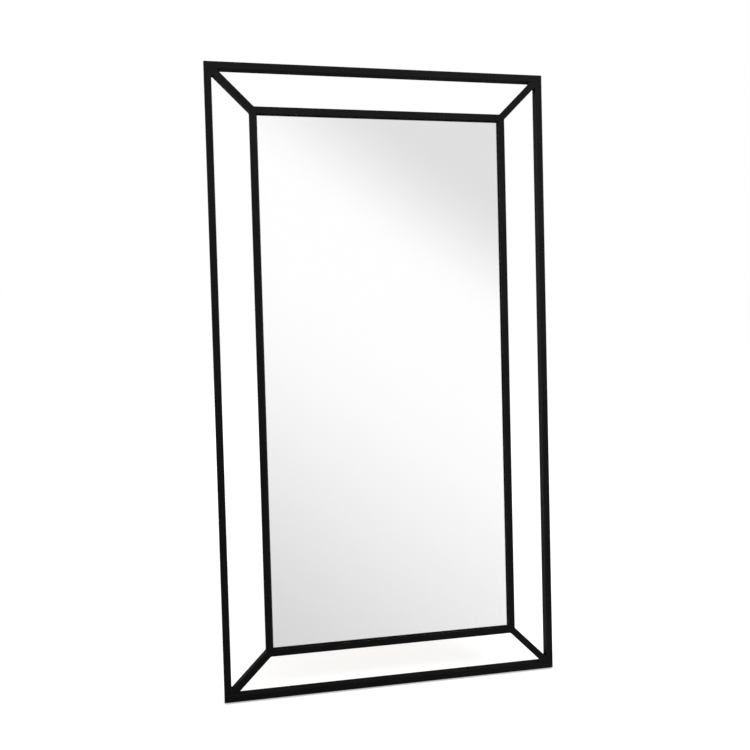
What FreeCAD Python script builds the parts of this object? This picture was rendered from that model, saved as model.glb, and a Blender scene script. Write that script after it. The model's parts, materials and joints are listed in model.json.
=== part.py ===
import FreeCAD, Part
import math
import os
import re

import Sketcher

# Leaning floor mirror: an open frame of welded steel tube that leans back against a wall.
#
# Every piece is drawn as it lies on the bench, face up: X to the right, Y up the mirror from
# the lower edge of the outer frame, and Z from the frame's back plane towards the viewer.
# Each piece is then stood up and leant back by lean_angle. The finished part has +Z up, its
# front faces -Y, and its origin lies on the floor under the middle of its bounding box.

SIZES = [
    ("overall_width", "990", "outer frame, edge to edge"),
    ("overall_height", "1800", "outer frame, measured along its own plane"),
    ("lean_angle", "8.5", "degrees that the frame leans back from upright"),
    ("window_gap", "100", "clear gap between the outer and the inner frame"),
    ("tube_face", "20", "width of the tube seen from the front"),
    ("tube_depth", "25", "depth of the tube from front to back"),
    ("tube_wall", "1.5", "wall of the tube"),
    ("tube_round", "1", "radius of the tube's long outer edges"),
    ("glass_recess", "5", "front of the tube to the front of the glass"),
    ("glass_thickness", "5", "float glass"),
    ("glass_clearance", "1.5", "gap between the glass and the inner frame"),
    ("glass_arris", "0.8", "ground edge around the front of the glass"),
    ("silver_thickness", "0.2", "silvering with its paint"),
    ("tape_thickness", "1", "mounting tape"),
    ("tape_width", "20", "one strip of mounting tape"),
    ("tape_side_inset", "60", "edge of the glass to the middle of the outer strip"),
    ("tape_end_inset", "40", "end of the glass to the end of a strip"),
    ("board_thickness", "6", "backing board"),
    ("board_clearance", "1", "gap between the board and the inner frame"),
    ("tab_width", "30", "retaining tab, along the tube that carries it"),
    ("tab_reach", "22", "retaining tab, from its weld to its free end"),
    ("tab_thickness", "2", "sheet of the retaining tab"),
    ("tab_corner", "5", "radius of the tab's free corners"),
    ("tab_hole_offset", "13", "weld of the tab to the middle of its hole"),
    ("tab_inset", "160", "end of the inner frame's opening to the nearest tab"),
    ("screw_shank", "3.5", "diameter of a screw's shank"),
    ("screw_head", "7", "diameter of a screw's head"),
    ("screw_head_height", "2.2", "height of a screw's head"),
    ("screw_head_round", "1.1", "radius around the top of a screw's head"),
    ("screw_point", "2", "length of a screw's point"),
    ("screw_tip_cover", "0.8", "board left in front of a tab screw's point"),
    ("screw_grip", "0.05", "gap between a shank and the hole that it is driven into"),
    ("recess_span", "3.6", "cross recess, from end to end"),
    ("recess_slot", "0.9", "cross recess, width of one slot"),
    ("recess_depth", "1.2", "depth of the cross recess"),
    ("clearance_hole", "4.2", "hole for a screw in a tab or a strap"),
    ("hanger_drop", "330", "top of the inner frame to the hinge of a hanger ring"),
    ("strap_width", "12", "hanger strap, and the barrel rolled at its end"),
    ("strap_thickness", "1.5", "sheet of the hanger strap"),
    ("strap_corner", "4", "radius of the strap's free corners"),
    ("barrel_gap", "0.5", "gap between the rolled end of the strap and its flat"),
    ("strap_margin", "6", "middle of the last screw to the end of the strap"),
    ("strap_screw_pitch", "12", "from one strap screw to the other"),
    ("strap_screw_length", "9.5", "strap screw, under its head"),
    ("ring_wire", "2.5", "diameter of the ring's wire"),
    ("ring_inside", "14", "width inside the ring"),
    ("ring_bend", "2.1", "bend of the wire at the ends of the ring's pin"),
    ("ring_leg", "4", "hinge to where the bow of the ring begins"),
    ("ring_fit", "0.06", "gap between the ring's pin and the barrel"),
    ("ring_screw_gap", "1.5", "gap between the ring's bow and the nearest screw head"),
    ("pad_length", "60", "floor pad, along the bottom rail"),
    ("pad_width", "12", "floor pad, from front to back"),
    ("pad_thickness", "2", "floor pad at its thin rear edge"),
    ("pad_rear", "2", "back plane of the frame to the pad's rear edge"),
    ("pad_inset", "110", "end of the bottom rail to the middle of the pad"),
    ("bumper_size", "12", "diameter of a wall bumper"),
    ("bumper_height", "8", "height of a wall bumper"),
    ("bumper_round", "1.5", "radius around the face of a wall bumper"),
    ("bumper_inset", "45", "side of the outer frame to the middle of a bumper"),
]

# Sizes that follow from the ones above.
BORDER = "(window_gap + tube_face)"
INNER_WIDTH = f"(overall_width - 2 * {BORDER})"
INNER_HEIGHT = f"(overall_height - 2 * {BORDER})"
OPENING_WIDTH = f"({INNER_WIDTH} - 2 * tube_face)"
OPENING_HEIGHT = f"({INNER_HEIGHT} - 2 * tube_face)"
OPENING_SIDE = f"({OPENING_WIDTH} / 2)"
OPENING_FOOT = f"({BORDER} + tube_face)"
OPENING_HEAD = f"({OPENING_FOOT} + {OPENING_HEIGHT})"
MIDDLE = "(overall_height / 2)"
GLASS_WIDTH = f"({OPENING_WIDTH} - 2 * glass_clearance)"
GLASS_HEIGHT = f"({OPENING_HEIGHT} - 2 * glass_clearance)"
BOARD_WIDTH = f"({OPENING_WIDTH} - 2 * board_clearance)"
BOARD_HEIGHT = f"({OPENING_HEIGHT} - 2 * board_clearance)"

# The stack inside the inner frame: height of each layer's rear face above the back plane.
GLASS_REAR = "(tube_depth - glass_recess - glass_thickness)"
SILVER_REAR = f"({GLASS_REAR} - silver_thickness)"
TAPE_REAR = f"({SILVER_REAR} - tape_thickness)"
BOARD_REAR = f"({TAPE_REAR} - board_thickness)"
TAB_REAR = f"({BOARD_REAR} - tab_thickness)"
TAB_SCREW_LENGTH = "(tab_thickness + board_thickness - screw_tip_cover)"

# The ring hangs from a barrel whose outside touches the stile.
BARREL_INSIDE = "(ring_wire / 2 + ring_fit)"
BARREL_OUTSIDE = f"({BARREL_INSIDE} + strap_thickness)"
ROLL_END_RISE = f"({BARREL_INSIDE} - barrel_gap)"
ROLL_END_BACK = (
    f"sqrt({BARREL_OUTSIDE} * {BARREL_OUTSIDE} - {ROLL_END_RISE} * {ROLL_END_RISE})"
)
RING_SIDE = "((ring_inside + ring_wire) / 2)"
RING_REACH = f"(ring_leg + {RING_SIDE} + ring_wire / 2)"
RING_HINGE = f"(overall_height - {BORDER} - hanger_drop)"
FIRST_STRAP_SCREW = f"({RING_REACH} + ring_screw_gap + screw_head / 2)"
LAST_STRAP_SCREW = f"({FIRST_STRAP_SCREW} + strap_screw_pitch)"
STRAP_LENGTH = f"({LAST_STRAP_SCREW} + strap_margin)"
STILE_CENTRE = f"({INNER_WIDTH} / 2 - tube_face / 2)"

# The lowest point is the level sole of the pads. The foremost point is the rounded lower
# front edge of the bottom rail, and the rearmost one the rounded face of the top bumpers.
PAD_FRONT_THICKNESS = "(pad_thickness + pad_width * tan(lean_angle))"
STAND_LIFT = "(pad_thickness * cos(lean_angle) - pad_rear * sin(lean_angle))"
FOREMOST = "(tube_round * sin(lean_angle) - (tube_depth - tube_round) * cos(lean_angle) - tube_round)"
BUMPER_CREST = "(overall_height - tube_face / 2 + bumper_size / 2 - bumper_round)"
REARMOST = (
    f"({BUMPER_CREST} * sin(lean_angle)"
    " + (bumper_height - bumper_round) * cos(lean_angle) + bumper_round)"
)
STAND = (
    f"placement(vector(0; -({FOREMOST} + {REARMOST}) / 2; {STAND_LIFT});"
    " rotation(vector(1; 0; 0); 90 - lean_angle))"
)

SIZE_NAME = re.compile(r"\b(" + "|".join(name for name, _, _ in SIZES) + r")\b")
BENCH_X, BENCH_Z = "1; 0; 0", "0; 0; 1"
CLOSE = 1e-6

doc = FreeCAD.newDocument("leaning_floor_mirror")
sheet = doc.addObject("Spreadsheet::Sheet", "sizes")
for row, (name, number, meaning) in enumerate(SIZES, start=1):
    sheet.set(f"A{row}", meaning)
    sheet.set(f"B{row}", number)
    sheet.setAlias(f"B{row}", name)
doc.recompute()

nodes = []


def bound(formula):
    """A formula in size names, as an expression that reads the sheet."""
    return SIZE_NAME.sub(r"sizes.\1", formula)


def value(formula):
    """A formula's value now, to start a sketch near its final shape."""
    return float(sheet.evalExpression(bound(formula)))


def stand_up(piece, x="0", y="0", z="0", axis=BENCH_Z, turn="0"):
    """Places a bench piece at x, y, z, turned about axis, and stands it up leaning."""
    local = f"placement(vector({x}; {y}; {z}); rotation(vector({axis}); {turn}))"
    piece.setExpression("Placement", bound(f"{STAND} * {local}"))
    nodes.append(piece)


# ---- sketches and features ----


def new_body(label):
    body = doc.addObject("PartDesign::Body", label)
    body.Label = label
    return body


def new_sketch(body, role, offset="0"):
    """A sketch on one of the body's own planes, offset along the plane's normal."""
    sketch = body.newObject("Sketcher::SketchObject", f"{body.Name}_sketch")
    plane = next(item for item in body.Origin.OriginFeatures if item.Role == role)
    sketch.AttachmentSupport = (plane, [""])
    sketch.MapMode = "FlatFace"
    sketch.setExpression("AttachmentOffset.Base.z", bound(offset))
    return sketch


def fix_coordinate(sketch, edge, end, coordinate, formula):
    """Ties the X (0) or Y (1) of one end or centre of an edge to a formula."""
    kind = ("DistanceX", "DistanceY")[coordinate]
    index = sketch.addConstraint(Sketcher.Constraint(kind, -1, 1, edge, end, value(formula)))
    sketch.setExpression(f"Constraints[{index}]", bound(formula))


def fix_point(sketch, edge, end, point):
    """Ties one end or centre of an edge to a point given by two formulas."""
    for coordinate, formula in enumerate(point):
        fix_coordinate(sketch, edge, end, coordinate, formula)


def outline(sketch, points, arcs=None):
    """A closed outline through points; arcs maps an edge's number to its centre and turn."""
    arcs = arcs or {}
    places = [FreeCAD.Vector(value(x), value(y), 0) for x, y in points]
    ends = []
    for number, start in enumerate(places):
        stop = places[(number + 1) % len(places)]
        if number in arcs:
            ends.append(add_arc(sketch, start, stop, *arcs[number]))
        else:
            ends.append((sketch.addGeometry(Part.LineSegment(start, stop), False), 1, 2))
    for number, (edge, start_end, _) in enumerate(ends):
        before, _, before_stop = ends[number - 1]
        joint = Sketcher.Constraint("Coincident", before, before_stop, edge, start_end)
        sketch.addConstraint(joint)
        fix_point(sketch, edge, start_end, points[number])


def add_arc(sketch, start, stop, centre, turn):
    """An arc from start to stop about centre; turn is 1 anticlockwise and -1 clockwise."""
    middle = FreeCAD.Vector(value(centre[0]), value(centre[1]), 0)
    first, last = (start, stop) if turn > 0 else (stop, start)
    angles = [math.atan2(p.y - middle.y, p.x - middle.x) for p in (first, last)]
    if angles[1] <= angles[0]:
        angles[1] += 2 * math.pi
    circle = Part.Circle(middle, FreeCAD.Vector(0, 0, 1), middle.distanceToPoint(start))
    edge = sketch.addGeometry(Part.ArcOfCircle(circle, *angles), False)
    chord = stop - start
    across_chord = 1 if abs(chord.x) > abs(chord.y) else 0
    fix_coordinate(sketch, edge, 3, across_chord, centre[across_chord])
    return (edge, 1, 2) if turn > 0 else (edge, 2, 1)


def rectangle(sketch, left, low, right, high):
    outline(sketch, [(left, low), (right, low), (right, high), (left, high)])


def centred_rectangle(sketch, width, height):
    """A rectangle about the mirror's middle."""
    half_width, half_height = f"{width} / 2", f"{height} / 2"
    rectangle(
        sketch,
        f"-({half_width})", f"{MIDDLE} - {half_height}",
        half_width, f"{MIDDLE} + {half_height}",
    )


def circles(sketch, centres, diameter):
    for centre in centres:
        middle = FreeCAD.Vector(value(centre[0]), value(centre[1]), 0)
        circle = Part.Circle(middle, FreeCAD.Vector(0, 0, 1), value(diameter) / 2)
        edge = sketch.addGeometry(circle, False)
        index = sketch.addConstraint(Sketcher.Constraint("Diameter", edge, value(diameter)))
        sketch.setExpression(f"Constraints[{index}]", bound(diameter))
        fix_point(sketch, edge, 3, centre)


def pad(body, sketch, length, side="One side"):
    feature = body.newObject("PartDesign::Pad", f"{body.Name}_pad")
    feature.Profile = sketch
    feature.SideType = side
    feature.setExpression("Length", bound(length))
    doc.recompute()
    return feature


def pocket(body, sketch, depth=None):
    """Cuts from the sketch along its normal, right through where no depth is given."""
    before = body.Shape.Volume
    feature = body.newObject("PartDesign::Pocket", f"{body.Name}_pocket")
    feature.Profile = sketch
    feature.Reversed = True
    if depth is None:
        feature.Type = "ThroughAll"
    else:
        feature.setExpression("Length", bound(depth))
    doc.recompute()
    if body.Shape.Volume >= before:
        raise ValueError(f"{body.Label}: the cut removes nothing")
    return feature


def round_edges(body, feature, radius, chosen, kind="PartDesign::Fillet"):
    """Rounds or bevels the feature's edges for which chosen(edge) is true."""
    names = [f"Edge{n}" for n, edge in enumerate(feature.Shape.Edges, start=1) if chosen(edge)]
    finish = body.newObject(kind, f"{body.Name}_finish")
    finish.Base = (feature, names)
    finish.setExpression("Radius" if kind.endswith("Fillet") else "Size", bound(radius))
    doc.recompute()
    return finish


def near(first, second):
    return abs(first - second) < CLOSE


def is_flat(edge, axis):
    """True where the edge has no extent along axis, X, Y or Z."""
    return getattr(edge.BoundBox, f"{axis}Length") < CLOSE


# ---- the welded frame ----


def tube(label, length, low_side):
    """A length of tube along X from x = 0, with its lower side at y = low_side."""
    body = new_body(label)
    section = new_sketch(body, "YZ_Plane")
    high_side = f"{low_side} + tube_face"
    rectangle(section, low_side, "0", high_side, "tube_depth")
    rectangle(
        section,
        f"{low_side} + tube_wall", "tube_wall",
        f"{high_side} - tube_wall", "tube_depth - tube_wall",
    )
    raw = pad(body, section, length)
    sides = (value(low_side), value(high_side))
    faces = (0, value("tube_depth"))

    def outer_long_edge(edge):
        middle = edge.CenterOfMass
        on_side = any(near(middle.y, side) for side in sides)
        on_face = any(near(middle.z, face) for face in faces)
        return is_flat(edge, "Y") and is_flat(edge, "Z") and on_side and on_face

    round_edges(body, raw, "tube_round", outer_long_edge)
    return body


def mitred_tube(label, length):
    """A frame side along X, sawn to 45 degrees at both ends, its long side at y = 0."""
    body = tube(label, length, "0")
    cuts = new_sketch(body, "XY_Plane")
    outline(cuts, [("-tube_face", "-tube_face"), ("2 * tube_face", "2 * tube_face"),
                   ("-tube_face", "2 * tube_face")])
    outline(cuts, [(f"{length} + tube_face", "-tube_face"),
                   (f"{length} + tube_face", "2 * tube_face"),
                   (f"{length} - 2 * tube_face", "2 * tube_face")])
    pocket(body, cuts)
    return body


def frame_sides(name, width, height, border):
    """The four sides of a mitred frame whose outline is inset by border."""
    half = f"{width} / 2"
    foot, head = border, f"overall_height - {border}"
    bottom = mitred_tube(f"{name}_bottom_rail", width)
    stand_up(bottom, f"-({half})", foot)
    right = mitred_tube(f"{name}_right_stile", height)
    stand_up(right, half, foot, turn="90")
    top = mitred_tube(f"{name}_top_rail", width)
    stand_up(top, half, head, turn="180")
    left = mitred_tube(f"{name}_left_stile", height)
    stand_up(left, f"-({half})", head, turn="270")
    return left, right


def corner_strut(label, x, y, turn):
    """A diagonal strut: pointed into the outer corner, notched over the inner corner."""
    run = "(window_gap * sqrt(2))"
    body = tube(label, f"({run} + tube_face / 2)", "-(tube_face / 2)")
    point = new_sketch(body, "XY_Plane")
    outline(point, [("0", "0"), ("tube_face", "tube_face"), ("-tube_face", "tube_face"),
                    ("-tube_face", "-tube_face"), ("tube_face", "-tube_face")])
    pocket(body, point)
    notch = new_sketch(body, "XY_Plane")
    outline(notch, [(run, "0"), (f"{run} + tube_face", "-tube_face"),
                    (f"{run} + tube_face", "tube_face")])
    pocket(body, notch)
    stand_up(body, x, y, turn=turn)


def corner_struts():
    side = "(overall_width / 2 - tube_face)"
    foot, head = "tube_face", "overall_height - tube_face"
    corner_strut("strut_bottom_left", f"-{side}", foot, "45")
    corner_strut("strut_bottom_right", side, foot, "135")
    corner_strut("strut_top_right", side, head, "225")
    corner_strut("strut_top_left", f"-{side}", head, "315")


# ---- the mirror and what lies behind it ----


def mirror_glass():
    body = new_body("mirror_glass")
    sketch = new_sketch(body, "XY_Plane", GLASS_REAR)
    centred_rectangle(sketch, GLASS_WIDTH, GLASS_HEIGHT)
    pane = pad(body, sketch, "glass_thickness")
    front = value("tube_depth - glass_recess")

    def front_edge(edge):
        return is_flat(edge, "Z") and near(edge.CenterOfMass.z, front)

    round_edges(body, pane, "glass_arris", front_edge, "PartDesign::Chamfer")
    stand_up(body)


def silver_layer():
    body = new_body("silver_layer")
    sketch = new_sketch(body, "XY_Plane", SILVER_REAR)
    centred_rectangle(sketch, GLASS_WIDTH, GLASS_HEIGHT)
    pad(body, sketch, "silver_thickness")
    stand_up(body)


def edge_seal():
    """The dark bead that fills the gap between the glass and the inner frame."""
    body = new_body("edge_seal")
    sketch = new_sketch(body, "XY_Plane", GLASS_REAR)
    centred_rectangle(sketch, OPENING_WIDTH, OPENING_HEIGHT)
    centred_rectangle(sketch, GLASS_WIDTH, GLASS_HEIGHT)
    pad(body, sketch, "glass_thickness")
    stand_up(body)


def mounting_tape():
    """Four upright strips: two near the sides of the glass, and two that share the rest."""
    body = new_body("mounting_tape")
    sketch = new_sketch(body, "XY_Plane", TAPE_REAR)
    outer = f"({GLASS_WIDTH} / 2 - tape_side_inset)"
    low = f"{MIDDLE} - {GLASS_HEIGHT} / 2 + tape_end_inset"
    high = f"{MIDDLE} + {GLASS_HEIGHT} / 2 - tape_end_inset"
    for middle in (f"-{outer}", f"-{outer} / 3", f"{outer} / 3", outer):
        rectangle(sketch, f"{middle} - tape_width / 2", low, f"{middle} + tape_width / 2", high)
    pad(body, sketch, "tape_thickness")
    stand_up(body)


def tab_places():
    """Each tab's label, the point of its weld on the bench, and its turn."""
    foot, head = f"({OPENING_FOOT} + tab_inset)", f"({OPENING_HEAD} - tab_inset)"
    left, right = f"-{OPENING_SIDE}", OPENING_SIDE
    out = f"({OPENING_SIDE} - tab_inset)"
    places = [
        ("bottom_left", f"-{out}", OPENING_FOOT, 0),
        ("bottom_right", out, OPENING_FOOT, 0),
        ("top_left", f"-{out}", OPENING_HEAD, 180),
        ("top_right", out, OPENING_HEAD, 180),
    ]
    for level, height in (("lower", foot), ("middle", MIDDLE), ("upper", head)):
        places.append((f"left_{level}", left, height, 270))
        places.append((f"right_{level}", right, height, 90))
    return places


def tab_screw_centres():
    """The middle of each tab's hole: tab_hole_offset from the weld, towards the board."""
    steps = {0: ("", " + tab_hole_offset"), 90: (" - tab_hole_offset", ""),
             180: ("", " - tab_hole_offset"), 270: (" + tab_hole_offset", "")}
    return [(x + steps[turn][0], y + steps[turn][1]) for _, x, y, turn in tab_places()]


def backing_board():
    body = new_body("backing_board")
    sketch = new_sketch(body, "XY_Plane", BOARD_REAR)
    centred_rectangle(sketch, BOARD_WIDTH, BOARD_HEIGHT)
    pad(body, sketch, "board_thickness")
    holes = new_sketch(body, "XY_Plane", BOARD_REAR)
    circles(holes, tab_screw_centres(), "screw_shank + 2 * screw_grip")
    pocket(body, holes, f"{TAB_SCREW_LENGTH} - tab_thickness")
    stand_up(body)


def retaining_tab(label, x, y, turn):
    """A drilled lug whose straight end is welded to the side of the inner frame."""
    body = new_body(f"retaining_tab_{label}")
    sketch = new_sketch(body, "XY_Plane", TAB_REAR)
    rectangle(sketch, "-tab_width / 2", "0", "tab_width / 2", "tab_reach")
    blank = pad(body, sketch, "tab_thickness")
    free_end = value("tab_reach")

    def free_corner(edge):
        return is_flat(edge, "X") and is_flat(edge, "Y") and near(edge.CenterOfMass.y, free_end)

    round_edges(body, blank, "tab_corner", free_corner)
    hole = new_sketch(body, "XY_Plane", TAB_REAR)
    circles(hole, [("0", "tab_hole_offset")], "clearance_hole")
    pocket(body, hole)
    stand_up(body, x, y, turn=str(turn))


def retaining_tabs():
    for label, x, y, turn in tab_places():
        retaining_tab(label, x, y, turn)


# ---- screws ----


def pan_head_screw(label, length):
    """One screw on the Z axis: its head below z = 0, its shank above, with a cross recess."""
    body = new_body(label)
    half_head, half_shank = "screw_head / 2", "screw_shank / 2"
    profile = new_sketch(body, "XZ_Plane")
    outline(profile, [
        ("0", "-screw_head_height"), (half_head, "-screw_head_height"), (half_head, "0"),
        (half_shank, "0"), (half_shank, f"{length} - screw_point"), ("0", length),
    ])
    turned = body.newObject("PartDesign::Revolution", f"{label}_turned")
    turned.Profile = profile
    turned.ReferenceAxis = (profile, ["V_Axis"])
    turned.Angle = 360
    doc.recompute()
    crown = -value("screw_head_height")

    def crown_edge(edge):
        return is_flat(edge, "Z") and near(edge.CenterOfMass.z, crown)

    round_edges(body, turned, "screw_head_round", crown_edge)
    cross = new_sketch(body, "XY_Plane", "-screw_head_height")
    span, slot = "recess_span / 2", "recess_slot / 2"
    outline(cross, [
        (span, f"-({slot})"), (span, slot), (slot, slot), (slot, span),
        (f"-({slot})", span), (f"-({slot})", slot), (f"-({span})", slot),
        (f"-({span})", f"-({slot})"), (f"-({slot})", f"-({slot})"),
        (f"-({slot})", f"-({span})"), (slot, f"-({span})"), (slot, f"-({slot})"),
    ])
    pocket(body, cross, "recess_depth")
    return body.Shape


def screw_group(label, screw, centres, seat):
    """Copies of one screw with their heads under the plane z = seat, as separate solids."""
    group = doc.addObject("Part::Feature", label)
    group.Label = label
    copies = []
    for x, y in centres:
        copy = screw.copy()
        copy.translate(FreeCAD.Vector(value(x), value(y), value(seat)))
        copies.append(copy)
    group.Shape = Part.makeCompound(copies)
    stand_up(group)


def tab_screws():
    screw = pan_head_screw("tab_screw_blank", TAB_SCREW_LENGTH)
    screw_group("tab_screws", screw, tab_screw_centres(), TAB_REAR)


# ---- hangers ----


def hanger_strap(label, x):
    """A strap along the stile whose upper end is rolled into a barrel round the ring's pin."""
    body = new_body(label)
    outside, inside = BARREL_OUTSIDE, BARREL_INSIDE
    inward = f"{inside} / {outside}"
    profile = new_sketch(body, "YZ_Plane")
    outline(
        profile,
        [
            (f"-{STRAP_LENGTH}", outside), ("0", outside),
            (f"-{ROLL_END_BACK}", ROLL_END_RISE),
            (f"-{ROLL_END_BACK} * {inward}", f"{ROLL_END_RISE} * {inward}"),
            ("0", inside), (f"-{STRAP_LENGTH}", inside),
        ],
        {1: (("0", "0"), -1), 3: (("0", "0"), 1)},
    )
    blank = pad(body, profile, "strap_width", "Symmetric")
    free_end = -value(STRAP_LENGTH)

    def free_corner(edge):
        return is_flat(edge, "X") and is_flat(edge, "Y") and near(edge.CenterOfMass.y, free_end)

    round_edges(body, blank, "strap_corner", free_corner)
    holes = new_sketch(body, "XY_Plane")
    places = [("0", f"-{FIRST_STRAP_SCREW}"), ("0", f"-{LAST_STRAP_SCREW}")]
    circles(holes, places, "clearance_hole")
    pocket(body, holes)
    stand_up(body, x, RING_HINGE, f"-{outside}")


def hanger_ring(label, x):
    """A closed D of wire: a straight pin through the barrel, two legs and a round bow."""
    body = new_body(label)
    side, pin_end = RING_SIDE, f"({RING_SIDE} - ring_bend)"
    path = new_sketch(body, "XY_Plane")
    outline(
        path,
        [
            (f"-{pin_end}", "0"), (pin_end, "0"), (side, "-ring_bend"), (side, "-ring_leg"),
            (f"-{side}", "-ring_leg"), (f"-{side}", "-ring_bend"),
        ],
        {
            1: ((pin_end, "-ring_bend"), -1),
            3: (("0", "-ring_leg"), -1),
            5: ((f"-{pin_end}", "-ring_bend"), -1),
        },
    )
    section = new_sketch(body, "YZ_Plane", f"-{pin_end}")
    circles(section, [("0", "0")], "ring_wire")
    wire = body.newObject("PartDesign::AdditivePipe", f"{label}_wire")
    wire.Profile = section
    wire.Spine = (path, [f"Edge{n}" for n in range(1, 7)])
    stand_up(body, x, RING_HINGE, f"-{BARREL_OUTSIDE}", BENCH_X, "lean_angle")


def drill_strap_holes(stile, along):
    """Holes for the strap screws through the rear wall of a stile, from its lower end."""
    holes = new_sketch(stile, "XY_Plane")
    centres = [
        (along(f"({RING_HINGE} - {below} - {BORDER})"), "tube_face / 2")
        for below in (FIRST_STRAP_SCREW, LAST_STRAP_SCREW)
    ]
    circles(holes, centres, "screw_shank + 2 * screw_grip")
    pocket(stile, holes, "tube_wall")


def hangers(left_stile, right_stile):
    drill_strap_holes(right_stile, lambda height: height)
    drill_strap_holes(left_stile, lambda height: f"({INNER_HEIGHT} - {height})")
    hanger_strap("hanger_strap_left", f"-{STILE_CENTRE}")
    hanger_strap("hanger_strap_right", STILE_CENTRE)
    hanger_ring("hanger_ring_left", f"-{STILE_CENTRE}")
    hanger_ring("hanger_ring_right", STILE_CENTRE)
    screw = pan_head_screw("strap_screw_blank", "strap_screw_length")
    centres = [
        (x, f"{RING_HINGE} - {below}")
        for x in (f"-{STILE_CENTRE}", STILE_CENTRE)
        for below in (FIRST_STRAP_SCREW, LAST_STRAP_SCREW)
    ]
    screw_group("strap_screws", screw, centres, "-strap_thickness")


# ---- rubber pads and bumpers ----


def floor_pad(label, x):
    """A wedge under the bottom rail, whose sole is level when the mirror leans."""
    body = new_body(label)
    profile = new_sketch(body, "YZ_Plane")
    outline(profile, [
        ("0", "pad_rear"), ("0", "pad_rear + pad_width"),
        (f"-{PAD_FRONT_THICKNESS}", "pad_rear + pad_width"), ("-pad_thickness", "pad_rear"),
    ])
    pad(body, profile, "pad_length", "Symmetric")
    stand_up(body, x)


def wall_bumper(label, x, y):
    body = new_body(label)
    disc = new_sketch(body, "XY_Plane", "-bumper_height")
    circles(disc, [("0", "0")], "bumper_size")
    button = pad(body, disc, "bumper_height")
    face = -value("bumper_height")

    def face_edge(edge):
        return is_flat(edge, "Z") and near(edge.CenterOfMass.z, face)

    round_edges(body, button, "bumper_round", face_edge)
    stand_up(body, x, y)


def pads_and_bumpers():
    pad_place = "(overall_width / 2 - pad_inset)"
    bumper_place = "(overall_width / 2 - bumper_inset)"
    low, high = "tube_face / 2", "overall_height - tube_face / 2"
    for side, sign in (("left", "-"), ("right", "")):
        floor_pad(f"floor_pad_{side}", f"{sign}{pad_place}")
        wall_bumper(f"wall_bumper_bottom_{side}", f"{sign}{bumper_place}", low)
        wall_bumper(f"wall_bumper_top_{side}", f"{sign}{bumper_place}", high)


# ---- assembly ----


def check_document():
    """Stops if any object failed, or a piece has no valid shape of its own."""
    for item in doc.Objects:
        if "Invalid" in item.State or "Error" in item.State:
            raise ValueError(f"{item.Label} is {item.State}")
    labels = [piece.Label for piece in nodes]
    if len(set(labels)) != len(labels):
        raise ValueError("two pieces share a name")
    for piece in nodes:
        if piece.Shape.isNull() or not piece.Shape.isValid() or not piece.Shape.Solids:
            raise ValueError(f"{piece.Label} has no valid solid")


def write_pieces():
    os.makedirs("parts", exist_ok=True)
    for piece in nodes:
        piece.Shape.exportStep(os.path.join("parts", f"{piece.Label}.step"))


def main():
    frame_sides("outer", "overall_width", "overall_height", "0")
    left_stile, right_stile = frame_sides("inner", INNER_WIDTH, INNER_HEIGHT, BORDER)
    corner_struts()
    mirror_glass()
    silver_layer()
    edge_seal()
    mounting_tape()
    backing_board()
    retaining_tabs()
    tab_screws()
    hangers(left_stile, right_stile)
    pads_and_bumpers()
    doc.recompute()
    check_document()
    write_pieces()
    whole = Part.makeCompound([piece.Shape for piece in nodes]).BoundBox
    print(len(nodes), "pieces;", whole)


main()
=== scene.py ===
"""Leaning floor mirror: the finish of every piece, its welds and bumpers, and a plain studio.

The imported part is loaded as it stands, in metres, +Z up, with its front towards -Y. New pieces are
worked out on the bench, where the mirror lies face up: X to the right, Y up the mirror and Z from
the back of the frame towards the viewer. Sizes whose names end in _mm are millimetres.
"""

import json
import logging
import math
from dataclasses import dataclass
from enum import Enum
from functools import cache
from typing import Mapping, Optional, Sequence, Union

import bpy
import numpy as np
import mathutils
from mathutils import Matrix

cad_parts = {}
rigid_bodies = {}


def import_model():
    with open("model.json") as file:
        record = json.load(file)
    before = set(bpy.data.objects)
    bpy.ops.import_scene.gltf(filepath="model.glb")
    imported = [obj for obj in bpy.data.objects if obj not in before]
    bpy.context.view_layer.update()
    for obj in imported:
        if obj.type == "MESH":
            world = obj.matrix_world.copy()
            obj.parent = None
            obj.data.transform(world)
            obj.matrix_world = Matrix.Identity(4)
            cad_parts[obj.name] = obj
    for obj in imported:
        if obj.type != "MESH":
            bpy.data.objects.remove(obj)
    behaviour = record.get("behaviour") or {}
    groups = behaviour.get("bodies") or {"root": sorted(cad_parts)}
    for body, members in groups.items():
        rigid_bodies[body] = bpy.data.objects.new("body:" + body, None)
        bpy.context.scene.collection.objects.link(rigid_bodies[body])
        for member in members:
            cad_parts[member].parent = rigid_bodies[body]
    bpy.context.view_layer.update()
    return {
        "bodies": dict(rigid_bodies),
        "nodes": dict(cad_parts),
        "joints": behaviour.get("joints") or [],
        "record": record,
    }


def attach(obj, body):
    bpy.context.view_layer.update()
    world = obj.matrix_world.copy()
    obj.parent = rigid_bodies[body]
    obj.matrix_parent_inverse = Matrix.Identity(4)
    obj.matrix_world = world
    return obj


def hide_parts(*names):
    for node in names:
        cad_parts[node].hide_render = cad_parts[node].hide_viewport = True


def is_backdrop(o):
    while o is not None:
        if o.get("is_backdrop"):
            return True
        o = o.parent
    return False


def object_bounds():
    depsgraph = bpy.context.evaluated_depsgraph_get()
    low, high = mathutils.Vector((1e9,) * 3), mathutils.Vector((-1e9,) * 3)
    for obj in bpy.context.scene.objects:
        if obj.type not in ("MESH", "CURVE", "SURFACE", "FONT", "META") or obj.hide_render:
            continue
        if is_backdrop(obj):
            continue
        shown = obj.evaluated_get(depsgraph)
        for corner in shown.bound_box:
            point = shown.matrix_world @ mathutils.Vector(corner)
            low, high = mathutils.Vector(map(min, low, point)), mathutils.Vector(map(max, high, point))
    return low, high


LOG = logging.getLogger("floor_mirror")
MM = 0.001
ROOT = "root"
UPRIGHTS = ("left", "right")
LEVELS = ("bottom", "top")
ACROSS = np.array([1.0, 0.0, 0.0])
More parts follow.
